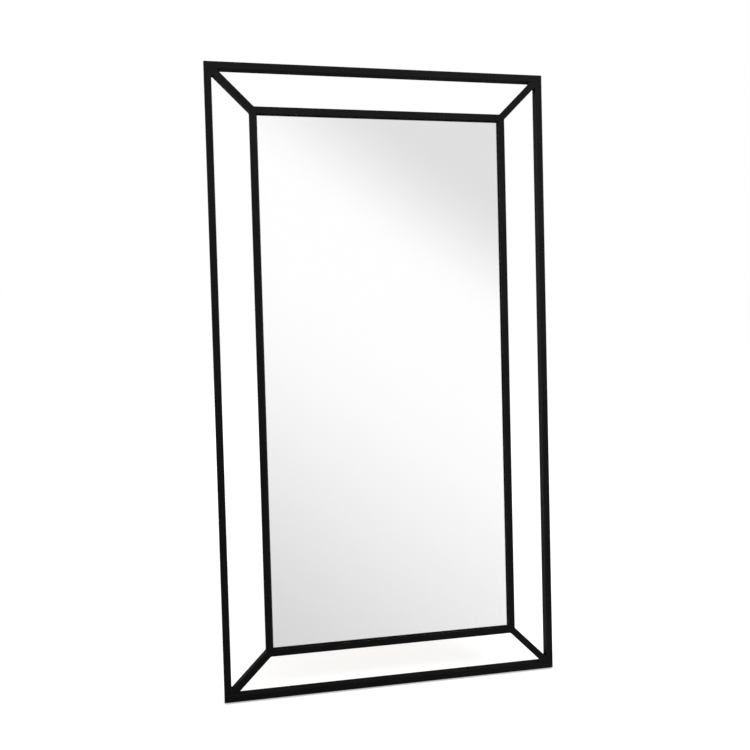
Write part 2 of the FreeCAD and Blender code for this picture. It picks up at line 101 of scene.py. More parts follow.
OUT_OF_BENCH = np.array([0.0, 0.0, 1.0])
QUARTER_TURN = np.pi / 2
NOISE_MIDDLE = 0.5
SHARP_DEGREES = 35

Vector = tuple[float, float, float]
Colour = tuple[float, float, float]
Span = tuple[float, float]
Value = Union["Signal", float, Sequence[float]]
Nodes = Mapping[str, bpy.types.Object]
# A closed surface: its points as rows, and its faces in groups of one size.
Skin = tuple[np.ndarray, list[np.ndarray]]


class Slot(Enum):
    """The record's material slots, which the log names for new pieces."""

    PAINT = "frame_paint"
    GLASS = "glass"
    RUBBER = "rubber"


class Ray(Enum):
    """The kinds of ray that the studio answers apart, by the Light Path node's outputs."""

    CAMERA = "Is Camera Ray"
    GLOSSY = "Is Glossy Ray"
    THROUGH_GLASS = "Is Transmission Ray"


def shown(red: float, green: float, blue: float) -> Colour:
    """Turns a colour as a screen shows it into light.

    Each part follows the screen's curve: straight up to level 10, and a power of 2.4 above it.

    Args:
        red, green, blue: Levels from 0 to 255.

    Returns:
        The same colour as linear light, each part from 0 to 1.
    """
    return tuple(((level / 255 + 0.055) / 1.055) ** 2.4 if level > 10 else level / 255 / 12.92
                 for level in (red, green, blue))


# ---- shader graphs ----


class Signal:
    """One output socket of a graph. Python's operators on it add Math nodes."""

    def __init__(self, graph: "Graph", socket: bpy.types.NodeSocket) -> None:
        """Wraps a socket of the graph."""
        self.graph = graph
        self.socket = socket

    def output(self, name: str) -> "Signal":
        """Another output of the same node."""
        return Signal(self.graph, self.socket.node.outputs[name])

    def math(self, operation: str, *values: Value) -> "Signal":
        """A Math node on the values, in order."""
        return self.graph.node("ShaderNodeMath", {"operation": operation}, dict(enumerate(values)))

    def __add__(self, other: Value) -> "Signal":
        """self + other."""
        return self.math("ADD", self, other)

    def __sub__(self, other: Value) -> "Signal":
        """self - other."""
        return self.math("SUBTRACT", self, other)

    def __rsub__(self, other: Value) -> "Signal":
        """other - self."""
        return self.math("SUBTRACT", other, self)

    def __mul__(self, other: Value) -> "Signal":
        """self * other."""
        return self.math("MULTIPLY", self, other)

    __radd__ = __add__
    __rmul__ = __mul__

    def rise(self, start: float, stop: float) -> "Signal":
        """A smooth step: 0 up to start, 1 from stop on."""
        return self.graph.node(
            "ShaderNodeMapRange", {"interpolation_type": "SMOOTHSTEP"},
            {"Value": self, "From Min": start, "From Max": stop},
        )


class Graph:
    """A node tree that is built by calls."""

    # Socket numbers of the Mix node, whose sockets share their names.
    MIX_SHARE = 0
    MIX_NUMBERS = (2, 3)
    MIX_COLOURS = (6, 7)
    MIX_COLOUR_RESULT = 2

    def __init__(self, tree: bpy.types.NodeTree) -> None:
        """Empties the tree, to build it anew."""
        self.tree = tree
        tree.nodes.clear()

    def node(
        self,
        kind: str,
        settings: Optional[Mapping[str, object]] = None,
        inputs: Optional[Mapping[Union[str, int], Value]] = None,
        output: Union[str, int] = 0,
    ) -> Signal:
        """Adds one node.

        Args:
            kind: The node's type.
            settings: Its properties, which are set first.
            inputs: Values or links, by socket name or number.
            output: Which output socket is returned.

        Returns:
            That output, or the first input of a node that has no outputs.
        """
        made = self.tree.nodes.new(kind)
        for name, setting in (settings or {}).items():
            setattr(made, name, setting)
        for name, value in (inputs or {}).items():
            if isinstance(value, Signal):
                self.tree.links.new(value.socket, made.inputs[name])
            else:
                made.inputs[name].default_value = value
        return Signal(self, made.outputs[output] if made.outputs else made.inputs[0])

    def choose(self, share: Signal, first: Value, second: Value) -> Signal:
        """A number between first and second, by share."""
        ends = dict(zip(self.MIX_NUMBERS, (first, second)))
        return self.node("ShaderNodeMix", {"data_type": "FLOAT"}, {self.MIX_SHARE: share, **ends})

    def mix(self, share: Value, first: Value, second: Value) -> Signal:
        """Colour between first and second, by share.

        Args:
            share: 0 for the first colour, 1 for the second.
            first, second: Links, or colours as linear light.

        Returns:
            The mixed colour.
        """
        colours = [end if isinstance(end, Signal) else (*end, 1) for end in (first, second)]
        ends = dict(zip(self.MIX_COLOURS, colours))
        return self.node("ShaderNodeMix", {"data_type": "RGBA"}, {self.MIX_SHARE: share, **ends},
                         self.MIX_COLOUR_RESULT)

    def place(self, grain: Vector = (1, 1, 1), turn: float = 0) -> Signal:
        """The point on the piece, in metres.

        Args:
            grain: How much longer a pattern read there is made along each axis.
            turn: Degrees by which it is turned about Y, so that the long way lies askew.

        Returns:
            The point, for a texture's Vector.
        """
        point = self.node("ShaderNodeTexCoord", output="Object")
        return self.node("ShaderNodeMapping", {"vector_type": "TEXTURE"},
                         {"Vector": point, "Rotation": (0, math.radians(turn), 0), "Scale": grain})

    def noise(self, size_mm: float, detail: float, grain: Vector = (1, 1, 1), turn: float = 0) -> Signal:
        """Soft noise.

        Args:
            size_mm: How large its blots are.
            detail: How many finer layers it has.
            grain, turn: How it is drawn out and turned, as in place().

        Returns:
            The noise, from 0 to 1.
        """
        return self.node(
            "ShaderNodeTexNoise", {},
            {"Vector": self.place(grain, turn), "Scale": 1 / (size_mm * MM), "Detail": detail},
        )

    def cells(self, cell_mm: float) -> Signal:
        """Distance from the middle of the nearest of many cells, about cell_mm across."""
        return self.node(
            "ShaderNodeTexVoronoi", {}, {"Vector": self.place(), "Scale": 1 / (cell_mm * MM)}, "Distance"
        )

    def dot(self, vector: Value, direction: Sequence[float]) -> Signal:
        """The share of a vector that lies along a direction of length 1."""
        return self.node("ShaderNodeVectorMath", {"operation": "DOT_PRODUCT"},
                         {0: vector, 1: direction}, "Value")

    def facing(self, direction: Vector) -> Signal:
        """1 where the surface faces direction, 0 across it and -1 where it faces away."""
        return self.dot(self.node("ShaderNodeNewGeometry", output="Normal"), direction)

    def edges(self, front: Vector, span: Span) -> Signal:
        """1 on the edges of a sheet and 0 on its faces, which look along front and away from it.

        Args:
            front: The way that its front looks.
            span: Where the square of facing() tells an edge from a face.

        Returns:
            The edges' share.
        """
        across = self.facing(front)
        return 1 - (across * across).rise(*span)

    def relief(self, height: Signal, depth_mm: float, strength: float = 1) -> Signal:
        """A normal that makes height, from 0 to 1, stand depth_mm proud."""
        return self.node("ShaderNodeBump", {},
                         {"Height": height, "Distance": depth_mm * MM, "Strength": strength})


@dataclass(frozen=True)
class Finish:
    """A finish: what a piece's surface is made of. Each kind overrides surface()."""

    name: str

    def surface(self, graph: Graph) -> dict[str, Value]:
        """The Principled BSDF's values and links, by socket."""
        raise NotImplementedError

    @cache
    def material(self) -> bpy.types.Material:
        """Builds the material once, and hands the same one out after that.

        Returns:
            The Blender material.
        """
        made = bpy.data.materials.new(self.name)
        made.use_nodes = True
        graph = Graph(made.node_tree)
        shader = graph.node("ShaderNodeBsdfPrincipled", {}, self.surface(graph))
        graph.node("ShaderNodeOutputMaterial", {}, {"Surface": shader})
        return made

    def dress(self, piece: bpy.types.Object) -> None:
        """Puts the finish on all of a piece."""
        piece.data.materials.clear()
        piece.data.materials.append(self.material())


@dataclass(frozen=True)
class PowderCoat(Finish):
    """Satin black powder coat: a faint orange peel over a fine, even grain."""

    colour: Colour = shown(9, 9, 9)
    thin_colour: Colour = shown(13, 13, 14)
    cloud_mm: float = 160
    cloud_span: Span = (0.35, 0.7)
    cloud_gloss: float = 0.07
    peel_mm: float = 2.2
    peel_depth_mm: float = 0.02
    grain_mm: float = 0.35
    grain_depth_mm: float = 0.004
    grain_gloss: float = 0.06
    roughness: float = 0.32

    def surface(self, graph: Graph) -> dict[str, Value]:
        """Slow clouds tint the coat; the peel and the grain shape its gloss.

        Args:
            graph: The material's graph.

        Returns:
            The shader's values and links, by socket.
        """
        clouds = graph.noise(self.cloud_mm, detail=3)
        peel = graph.noise(self.peel_mm, detail=1)
        grain = graph.noise(self.grain_mm, detail=2)
        height = peel + grain * (self.grain_depth_mm / self.peel_depth_mm)
        uneven = self.cloud_gloss * (clouds - NOISE_MIDDLE)
        return {
            "Base Color": graph.mix(clouds.rise(*self.cloud_span), self.colour, self.thin_colour),
            "Roughness": self.roughness + uneven + self.grain_gloss * (grain - NOISE_MIDDLE),
            "Normal": graph.relief(height, self.peel_depth_mm),
        }


@dataclass(frozen=True)
class FloatGlass(Finish):
    """Clear float glass with the faintest smears, and ground edges that the sealant has darkened."""

    front: Vector
    colour: Colour = (0.9935, 0.9945, 0.9935)
    smeared_colour: Colour = (0.9905, 0.992, 0.991)
    smear_mm: float = 240
    smear_grain: Vector = (1, 1, 4)
    smear_span: Span = (0.45, 0.75)
    ground_edge: Colour = shown(34, 41, 38)
    ground_roughness: float = 0.5
    edge_span: Span = (0.6, 0.9)
    ior: float = 1.52

    def surface(self, graph: Graph) -> dict[str, Value]:
        """Wiping leaves long soft smears that take a little light. No light gets through an edge.

        Args:
            graph: The material's graph.

        Returns:
            The shader's values and links, by socket.
        """
        smear = graph.noise(self.smear_mm, detail=4, grain=self.smear_grain).rise(*self.smear_span)
        edge = graph.edges(self.front, self.edge_span)
        clear = graph.mix(smear, self.colour, self.smeared_colour)
        return {
            "Base Color": graph.mix(edge, clear, self.ground_edge),
            "Metallic": edge,
            "Roughness": self.ground_roughness * edge,
            "IOR": self.ior,
            "Transmission Weight": 1.0,
        }


@dataclass(frozen=True)
class Silvering(Finish):
    """The silver that shows through the glass, and the grey paint that covers its back."""

    front: Vector
    silver: Colour = (0.953, 0.949, 0.952)
    hazed_silver: Colour = (0.948, 0.944, 0.947)
    haze_mm: float = 300
    paint: Colour = shown(96, 101, 99)
    stroke_paint: Colour = shown(112, 117, 115)
    stroke_mm: float = 1.5
    stroke_grain: Vector = (5, 1, 1)
    paint_roughness: float = 0.62
    front_span: Span = (0.4, 0.6)

    def surface(self, graph: Graph) -> dict[str, Value]:
        """Metal where the layer faces the glass, and rolled paint elsewhere.

        Args:
            graph: The material's graph.

        Returns:
            The shader's values and links, by socket.
        """
        towards_glass = graph.facing(self.front).rise(*self.front_span)
        haze = graph.noise(self.haze_mm, detail=3)
        strokes = graph.noise(self.stroke_mm, detail=2, grain=self.stroke_grain)
        metal = graph.mix(haze, self.silver, self.hazed_silver)
        painted = graph.mix(strokes, self.paint, self.stroke_paint)
        return {
            "Base Color": graph.mix(towards_glass, painted, metal),
            "Metallic": towards_glass,
            "Roughness": self.paint_roughness * (1 - towards_glass),
        }


@dataclass(frozen=True)
class SealBead(Finish):
    """Black silicone, smoothed by hand."""

    colour: Colour = shown(14, 14, 14)
    worn_colour: Colour = shown(24, 24, 25)
    wave_mm: float = 9
    wave_depth_mm: float = 0.15
    skin_mm: float = 1.2
    roughness: float = 0.34
    skin_gloss: float = 0.14

    def surface(self, graph: Graph) -> dict[str, Value]:
        """A slow wave along the bead, and a skin of uneven gloss.

        Args:
            graph: The material's graph.

        Returns:
            The shader's values and links, by socket.
        """
        wave = graph.noise(self.wave_mm, detail=2)
        skin = graph.noise(self.skin_mm, detail=2)
        return {
            "Base Color": graph.mix(skin, self.colour, self.worn_colour),
            "Roughness": self.roughness + self.skin_gloss * skin,
            "Normal": graph.relief(wave, self.wave_depth_mm),
        }


@dataclass(frozen=True)
class FoamTape(Finish):
    """White closed-cell foam tape."""

    colour: Colour = shown(226, 225, 218)
    # Painted shade: the darker colour given to the sunken middle of each foam pit.
    pit_shade_colour: Colour = shown(205, 204, 197)
    cell_mm: float = 0.5
    pit_depth_mm: float = 0.1
    roughness: float = 0.7
    cell_gloss: float = 0.2

    def surface(self, graph: Graph) -> dict[str, Value]:
        """Cells show as a fine pitted skin, with painted shade darkening the middle of each pit.

        Args:
            graph: The material's graph.

        Returns:
            The shader's values and links, by socket.
        """
        cell = graph.cells(self.cell_mm)
        return {
            # Painted shade: the colour darkens towards each cell's middle, where the relief sinks the
            # pit.
            "Base Color": graph.mix(cell, self.pit_shade_colour, self.colour),
            "Roughness": self.roughness + self.cell_gloss * cell,
            "Normal": graph.relief(cell, self.pit_depth_mm),
        }


@dataclass(frozen=True)
class FibreBoard(Finish):
    """Plain brown fibre board: pressed and sanded faces, rougher sawn edges."""

    front: Vector
    fibre: Colour = shown(172, 137, 97)
    dark_fibre: Colour = shown(136, 102, 68)
    edge: Colour = shown(122, 90, 58)
    speck: Colour = shown(84, 60, 40)
    fibre_mm: float = 0.6
    fibre_grain: Vector = (1, 1, 6)
    fibre_turns: tuple[float, ...] = (14, 58, 101, 152)
    fibre_share: float = 0.88
    mottle_mm: float = 110
    mottle_share: float = 0.12
    tone_span: Span = (0.4, 0.6)
    speck_mm: float = 6
    speck_span: Span = (0.05, 0.1)
    speck_share: float = 0.5
    edge_span: Span = (0.3, 0.7)
    roughness: float = 0.68
    fibre_gloss: float = 0.24
    fibre_depth_mm: float = 0.1
    fibre_strength: float = 0.7

    def surface(self, graph: Graph) -> dict[str, Value]:
        """Fine fibres lie every way, over a slow mottle, with a few dark specks.

        Args:
            graph: The material's graph.

        Returns:
            The shader's values and links, by socket.
        """
        mottle = graph.noise(self.mottle_mm, detail=4)
        layers = [
            graph.noise(self.fibre_mm, detail=3, grain=self.fibre_grain, turn=turn)
            for turn in self.fibre_turns
        ]
        fibres = sum(layers[1:], layers[0]) * (1 / len(layers))
        specks = 1 - graph.cells(self.speck_mm).rise(*self.speck_span)
        edges = graph.edges(self.front, self.edge_span)
        tone = (fibres * self.fibre_share + mottle * self.mottle_share).rise(*self.tone_span)
        face = graph.mix(tone, self.dark_fibre, self.fibre)
        flecked = graph.mix(specks * self.speck_share, face, self.speck)
        height = fibres + edges * layers[0]
        return {
            "Base Color": graph.mix(edges, flecked, self.edge),
            "Roughness": self.roughness + self.fibre_gloss * fibres,
            "Normal": graph.relief(height, self.fibre_depth_mm, self.fibre_strength),
        }


@dataclass(frozen=True)
class ZincPlate(Finish):
    """Bright zinc plate: silvery, with faint blue and straw clouds and fine drawn lines."""

    colour: Colour = (0.66, 0.67, 0.69)
    straw: Colour = (0.66, 0.63, 0.55)
    straw_span: Span = (0.5, 0.75)
    blue: Colour = (0.55, 0.6, 0.68)
    blue_span: Span = (0.28, 0.45)
    cloud_mm: float = 5
    cloud_gloss: float = 0.1
    line_mm: float = 0.22
    line_grain: Vector = (8, 1, 1)
    line_gloss: float = 0.14
    line_depth_mm: float = 0.008
    metallic: float = 0.9
    roughness: float = 0.24

    def surface(self, graph: Graph) -> dict[str, Value]:
        """The plate's clouds tint it, and fine lines roughen it.

        Args:
            graph: The material's graph.

        Returns:
            The shader's values and links, by socket.
        """
        clouds = graph.noise(self.cloud_mm, detail=3)
        lines = graph.noise(self.line_mm, detail=2, grain=self.line_grain)
        tinted = graph.mix(clouds.rise(*self.straw_span), self.colour, self.straw)
        return {
            "Base Color": graph.mix(1 - clouds.rise(*self.blue_span), tinted, self.blue),
            "Metallic": self.metallic,
            "Roughness": self.roughness + self.line_gloss * lines + self.cloud_gloss * clouds,
            "Normal": graph.relief(lines, self.line_depth_mm),
        }


@dataclass(frozen=True)
class MouldedRubber(Finish):
    """Matt black rubber with the fine spark grain of its mould."""

    colour: Colour = shown(24, 24, 24)
    bloom: Colour = shown(44, 44, 43)
    bloom_mm: float = 6
    bloom_span: Span = (0.45, 0.75)
    bloom_share: float = 0.6
    bloom_gloss: float = 0.12
    grain_mm: float = 0.3
    grain_depth_mm: float = 0.03
    grain_gloss: float = 0.1
    roughness: float = 0.62

    def surface(self, graph: Graph) -> dict[str, Value]:
        """A pale bloom comes and goes over the grain.

        Args:
            graph: The material's graph.

        Returns:
            The shader's values and links, by socket.
        """
        grain = graph.noise(self.grain_mm, detail=2)
        bloom = graph.noise(self.bloom_mm, detail=3).rise(*self.bloom_span)
        return {
            "Base Color": graph.mix(bloom * self.bloom_share, self.colour, self.bloom),
            "Roughness": self.roughness + self.bloom_gloss * bloom + self.grain_gloss * grain,
            "Normal": graph.relief(grain, self.grain_depth_mm),
        }


# ---- surfaces ----


def closed_loft(rings: np.ndarray) -> Skin:
    """Joins closed rings into a skin, with a point at the middle of each end ring.

    Args:
        rings: Points as (ring, point, xyz). Each ring runs anticlockwise, seen from the side
            that the rings advance towards.

    Returns:
        The points as rows, and arrays of faces that point outwards: quads, then triangles.
    """
    count, around = rings.shape[:2]
    points = np.concatenate([rings.reshape(-1, 3), rings[[0, -1]].mean(1)])
    ring, step = np.meshgrid(np.arange(count - 1), np.arange(around), indexing="ij")
    here, there = ring * around + step, ring * around + (step + 1) % around
    quads = np.stack([here, there, there + around, here + around], -1).reshape(-1, 4)
    step = np.arange(around)
    after = (step + 1) % around
    last = (count - 1) * around
    first_end, last_end = np.full(around, count * around), np.full(around, count * around + 1)
    start_fan = np.stack([first_end, after, step], -1)
    stop_fan = np.stack([last_end, last + step, last + after], -1)
    return points, [quads, np.concatenate([start_fan, stop_fan])]


def end_taper(way: np.ndarray, length: float, run: float, least: float) -> np.ndarray:
    """How the size of a bead rises from both its ends, as a quarter circle does.

    Args:
        way: Places along the bead, from 0 to length.
        length: The bead's length.
        run: The distance from an end over which it rises.
        least: The share of that distance that it starts at, so that no end is a point.

    Returns:
        The size at each place, up to 1.
    """
    risen = np.clip(np.minimum(way, length - way) / run, least, 1)
    return np.sqrt(1 - (1 - risen) ** 2)


def node_points(node: str) -> np.ndarray:
    """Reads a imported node's mesh.

    Args:
        node: The node's name.

    Returns:
        Its vertices in metres, one row each.
    """
    mesh = bpy.data.objects[node].data
    points = np.empty(len(mesh.vertices) * 3, np.float32)
    mesh.vertices.foreach_get("co", points)
    return points.reshape(-1, 3).astype(float)


@dataclass(frozen=True)
class Bench:
    """The mirror's own axes: face up on the bench, from its lower rear edge."""

    origin: np.ndarray
    up: np.ndarray
    front: np.ndarray

    @classmethod
    def from_frame(cls, frame: dict) -> "Bench":
        """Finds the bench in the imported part.


        Returns:
            The bench whose front is opposite the top bumpers' face, and whose origin is the
            corner that the flat lower and rear sides of the outer frame make.
        """
        mounts = {mount["name"]: mount for mount in frame["record"]["mounts"]}
        rear = np.array(mounts["wall_top_left"]["axis"], float)
        front = -rear / np.linalg.norm(rear)
        up = np.cross(front, ACROSS)
        rail = node_points("outer_bottom_rail")
        return cls(up * (rail @ up).min() + front * (rail @ front).min(), up, front)

    def world(self, points: np.ndarray) -> np.ndarray:
        """Places bench points where they stand in the leaning mirror.

        A point lies x across, y up the mirror and z out of it from the bench's origin.

        Args:
            points: Points on the bench in metres, xyz last.

        Returns:
            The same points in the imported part's frame.
        """
        x, y, z = points[..., 0:1], points[..., 1:2], points[..., 2:3]
        return self.origin + x * ACROSS + y * self.up + z * self.front

    def extents(self, node: str) -> np.ndarray:
        """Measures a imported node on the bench.

        Args:
            node: The node's name.

        Returns:
            Its lowest and its highest coordinates, as two rows.
        """
        points = node_points(node)
        away = points - self.origin
        bench = np.stack([points[:, 0], away @ self.up, away @ self.front], -1)
        return np.stack([bench.min(0), bench.max(0)])

    def piece(self, name: str, skins: Sequence[Skin]) -> bpy.types.Object:
        """Makes one object of closed skins.

        Args:
            name: The object's name.
            skins: Points on the bench and faces of each skin, as closed_loft() gives them.

        Returns:
            The object at the origin, smooth except at sharp edges.
        """
        start = 0
        points, faces = [], []
        for places, groups in skins:
            points.append(self.world(places))
            faces.extend(row for group in groups for row in (group + start).tolist())
            start += len(places)
        mesh = bpy.data.meshes.new(name)
        mesh.from_pydata(np.concatenate(points).tolist(), [], faces)
        mesh.shade_smooth()
        mesh.set_sharp_from_angle(angle=math.radians(SHARP_DEGREES))
        made = bpy.data.objects.new(name, mesh)
        bpy.context.scene.collection.objects.link(made)
        return made


def finish_piece(piece: bpy.types.Object, slot: Slot, finish: Finish) -> None:
    """Dresses a new piece and lets it ride on the frame.

    Args:
        piece: The piece.
        slot: The record's slot, which is only named in the log.
        finish: What it is made of.
    """
    finish.dress(piece)
    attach(piece, ROOT)
    LOG.info("%s: %d faces, %s", piece.name, len(piece.data.polygons), slot.value)


def dress_nodes(nodes: Nodes, names: Sequence[str], finish: Finish) -> None:
    """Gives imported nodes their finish.

    Args:
        nodes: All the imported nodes.
        names: Those to dress.
        finish: What they are made of.
    """
    for name in names:
        finish.dress(nodes[name])
    LOG.info("%s on %d nodes", finish.name, len(names))


# ---- the mirror's sub-assemblies ----


@dataclass(frozen=True)
class WeldBead:
    """A rippled fillet weld that tapers at both ends."""

    leg_mm: float = 3
    bulge: float = 0.16
    ripple_mm: float = 1.4
    ripple_height: float = 0.05
    taper_mm: float = 2
    blunt_end: float = 0.03
    sunk_mm: float = 0.05
    around: int = 12
    step_mm: float = 0.35
    fewest_rings: int = 8

    def skin(
        self, corner: np.ndarray, along: np.ndarray, first: np.ndarray, second: np.ndarray, length: float
    ) -> Skin:
        """The bead's surface.

        The section is a fan from the corner: its face runs from a leg's length along the first
        wall to the same along the second, and bulges outwards by bulge times the sine of the
        way across. It is carried along the corner, its size falling to nothing at the ends as
        a quarter circle does and swelling a little with each ripple.

        Args:
            corner: The start of the corner, on the bench, in metres.
            along: Direction of length 1 along the corner; first, second and it are right-handed.
            first, second: Directions of length 1 away from the corner, in its two walls.
            length: The bead's length in metres.

        Returns:
            Points and faces, still on the bench.
        """
        ripple = self.ripple_mm * MM
        rings = max(self.fewest_rings, round(length / (self.step_mm * MM)))
        way = np.linspace(0, length, rings)
        size = end_taper(way, length, self.taper_mm * MM, self.blunt_end)
        size = size * (1 + self.ripple_height * np.sin(2 * np.pi * way / ripple))
        across = np.linspace(0, 1, self.around)
        swell = np.sin(np.pi * across)
        face = (1 - across)[:, None] * first + across[:, None] * second
        face = face * (1 + self.bulge * swell)[:, None]
        root = -(first + second) * self.sunk_mm / self.leg_mm
        section = np.concatenate([root[None], face]) * self.leg_mm * MM
        lag = np.concatenate([[0], swell]) * ripple / 2
        inner = np.clip(way, ripple, length - ripple) == way
        points = corner + way[:, None, None] * along + size[:, None, None] * section
        points = points - (inner[:, None] * lag)[..., None] * along
        return closed_loft(points)


@dataclass(frozen=True)
class Corner:
    """A corner of a frame: its outer point on the back plane, and one step in along each axis."""

    point: np.ndarray
    inward: np.ndarray

    @property
    def diagonal(self) -> np.ndarray:
        """The way inwards, with length 1."""
        return self.inward / math.sqrt(2)


@dataclass
class WeldedFrame:
    """Outer and inner frame with their corner struts, and the welds that join them."""

    bench: Bench
    paint: Finish
    bead: WeldBead = WeldBead(leg_mm=2.4, bulge=0.05, taper_mm=1)
    bead_margin_mm: float = 0.6
    seam_width_mm: float = 3.2
    seam_height_mm: float = 0.2
    seam_margin_mm: float = 2
    seam_taper_mm: float = 3
    seam_blunt_end: float = 0.02
    seam_wave_mm: float = 1.7
    seam_wave_height: float = 0.08
    seam_rings: int = 40
    seam_points: int = 9

    def dress(self, nodes: Nodes) -> None:
        """Paints the tubes."""
        tubes = [name for name in nodes if name.startswith(("outer_", "inner_", "strut_"))]
        dress_nodes(nodes, tubes, self.paint)

    def tube(self) -> tuple[float, float]:
        """Width and depth of the tube, in metres."""
        low, high = self.bench.extents("outer_bottom_rail")
        return high[1] - low[1], high[2]

    def corners(self, name: str) -> list[Corner]:
        """Finds the corners of a frame.

        Args:
            name: outer or inner.

        Returns:
            Its four corners.
        """
        low = self.bench.extents(f"{name}_bottom_rail")[0]
        high = self.bench.extents(f"{name}_top_rail")[1]
        return [
            Corner(np.array([x, y, 0]), np.array([inward_x, inward_y, 0]))
            for x, inward_x in ((low[0], 1), (high[0], -1))
            for y, inward_y in ((low[1], 1), (high[1], -1))
        ]

    def strut_welds(self) -> None:
        """Beads down the depth of the tube, where each strut meets the two frames."""
        skins = [
            self._strut_weld(corner, axis, inside)
            for name, inside in (("outer", True), ("inner", False))
            for corner in self.corners(name)
            for axis in (0, 1)
        ]
        finish_piece(self.bench.piece("strut_welds", skins), Slot.PAINT, self.paint)

    def _strut_weld(self, corner: Corner, axis: int, inside: bool) -> Skin:
        """One bead in the corner between a strut's side and a rail's side.

        Args:
            corner: The corner of the frame that the strut meets.
            axis: The axis that the rail runs along: 0 for X, 1 for Y.
            inside: Whether the strut lies inside the frame.

        Returns:
            Points and faces on the bench.
        """
        width, depth = self.tube()
        margin = self.bead_margin_mm * MM
        wall = np.zeros(3)
        wall[axis] = corner.inward[axis]
        start = corner.point + wall * (width / math.sqrt(2)) + OUT_OF_BENCH * margin
        strut = -corner.diagonal
        if inside:
            start = start + corner.inward * width
            strut = corner.diagonal
        legs = [wall, strut]
        if np.cross(wall, strut)[2] < 0:
            legs.reverse()
        return self.bead.skin(start, OUT_OF_BENCH, *legs, depth - 2 * margin)

    def mitre_seams(self) -> None:
        """Flattened weld seams across the back of each mitre, ground low and painted over.

        Each is a low ridge on the back plane: half an ellipse across, as wide as the seam and
        as high as its height, carried from near the frame's outer corner to near its inner one.
        It tapers at its ends and swells a little in waves.
        """
        margin = self.seam_margin_mm * MM
        length = self.tube()[0] * math.sqrt(2) - 2 * margin
        way = np.linspace(0, length, self.seam_rings)
        wave = 1 + self.seam_wave_height * np.sin(way / (self.seam_wave_mm * MM))
        size = end_taper(way, length, self.seam_taper_mm * MM, self.seam_blunt_end) * wave
        turn = np.linspace(0, np.pi, self.seam_points)
        width = np.cos(turn) * self.seam_width_mm * MM / 2
        height = np.sin(turn) * self.seam_height_mm * MM
        skins = []
        for corner in self.corners("outer") + self.corners("inner"):
            along = corner.diagonal
            side = np.array([along[1], -along[0], 0])
            section = side * width[:, None] - OUT_OF_BENCH * height[:, None]
            middle = corner.point + along * (margin + way[:, None, None])
            skins.append(closed_loft(middle + section * size[:, None, None]))
        finish_piece(self.bench.piece("mitre_seams", skins), Slot.PAINT, self.paint)


@dataclass
class MirrorPane:
    """The glass, the silver behind it, and what holds both."""

    bench: Bench
    glass: Finish
    silver: Finish
    seal: Finish
    tape: Finish
    arris_mm: float = 0.6
    corner_mm: float = 1.5
    corner_points: int = 7
    clear_of_silver_mm: float = 0.05

    def dress(self, nodes: Nodes) -> None:
        """Gives each layer behind and around the glass its finish.

        Args:
            nodes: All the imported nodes.
        """
        dress_nodes(nodes, ["silver_layer"], self.silver)
        dress_nodes(nodes, ["edge_seal"], self.seal)
        dress_nodes(nodes, ["mounting_tape"], self.tape)

    def ground_pane(self) -> None:
        """The pane with its edges ground, a hair clear of the silver, so that neither hides the other.

        Four rings carry the surface round the pane's edge: the back face's, the two sides of the
        flat edge and the front face's. The faces' rings are drawn in by the arris.
        """
        low, high = self.bench.extents("mirror_glass")
        arris = self.arris_mm * MM
        back = low[2] + self.clear_of_silver_mm * MM
        steps = [(arris, back), (0, back + arris), (0, high[2] - arris), (arris, high[2])]
        rings = np.stack([self.outline(low, high, inset, height) for inset, height in steps])
        piece = self.bench.piece("ground_pane", [closed_loft(rings)])
        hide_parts("mirror_glass")
        finish_piece(piece, Slot.GLASS, self.glass)

    def outline(self, low: np.ndarray, high: np.ndarray, inset: float, height: float) -> np.ndarray:
        """A rectangle with round corners.

        Each corner is a quarter circle about a centre that lies the radius in from both sides.

        Args:
            low, high: Two corners of the pane on the bench.
            inset: How far the rectangle is drawn in.
            height: Its height on the bench.

        Returns:
            The points anticlockwise, one row each.
        """
        radius = self.corner_mm * MM
        turn = np.linspace(0, QUARTER_TURN, self.corner_points)
        angle = (np.arange(4)[:, None] * QUARTER_TURN + turn).ravel()
        middle, half = (low + high)[:2] / 2, (high - low)[:2] / 2 - radius
        signs = np.array([(1, 1), (-1, 1), (-1, -1), (1, -1)])
        centres = np.repeat(middle + signs * half, self.corner_points, 0)
        flat = centres + (radius - inset) * np.stack([np.cos(angle), np.sin(angle)], -1)
        return np.column_stack([flat, np.full(len(flat), height)])


@dataclass
class Backing:
    """The board, and the welded tabs and screws that hold it in."""

    bench: Bench
    board: Finish
    paint: Finish
    zinc: Finish
    bead: WeldBead = WeldBead()

    def dress(self, nodes: Nodes) -> None:
        """Gives the board, tabs and screws their finish.

        Args:
            nodes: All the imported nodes.
        """
        dress_nodes(nodes, ["backing_board"], self.board)
        dress_nodes(nodes, self.tabs(nodes), self.paint)
        dress_nodes(nodes, ["tab_screws"], self.zinc)

    @staticmethod
    def tabs(nodes: Nodes) -> list[str]:
        """The names of the tabs, in order."""
        return sorted(name for name in nodes if name.startswith("retaining_tab"))

    def tab_welds(self, nodes: Nodes) -> None:
        """A bead behind each tab, in the corner that it makes with the side of the tube."""
        skins = [self._tab_weld(name) for name in self.tabs(nodes)]
        finish_piece(self.bench.piece("tab_welds", skins), Slot.PAINT, self.paint)

    def _tab_weld(self, tab: str) -> Skin:
        """The bead on one tab, along whichever of its four sides is nearest to a side of the tube.

        Args:
            tab: The tab's name.

        Returns:
            Points and faces on the bench.
        """
        sides = self.bench.extents(tab)
        opening = self.bench.extents("edge_seal")
        gaps = np.abs(sides - opening)[:, :2]
        end, axis = np.unravel_index(gaps.argmin(), gaps.shape)
        away = np.zeros(3)
        away[axis] = 1 if end == 0 else -1
        along = np.cross(-OUT_OF_BENCH, away)
        cross = 1 - axis
        low, high = sides[:, cross]
        corner = sides[0].copy()
        corner[axis] = sides[end, axis]
        corner[cross] = low if along[cross] > 0 else high
        return self.bead.skin(corner, along, -OUT_OF_BENCH, away, high - low)


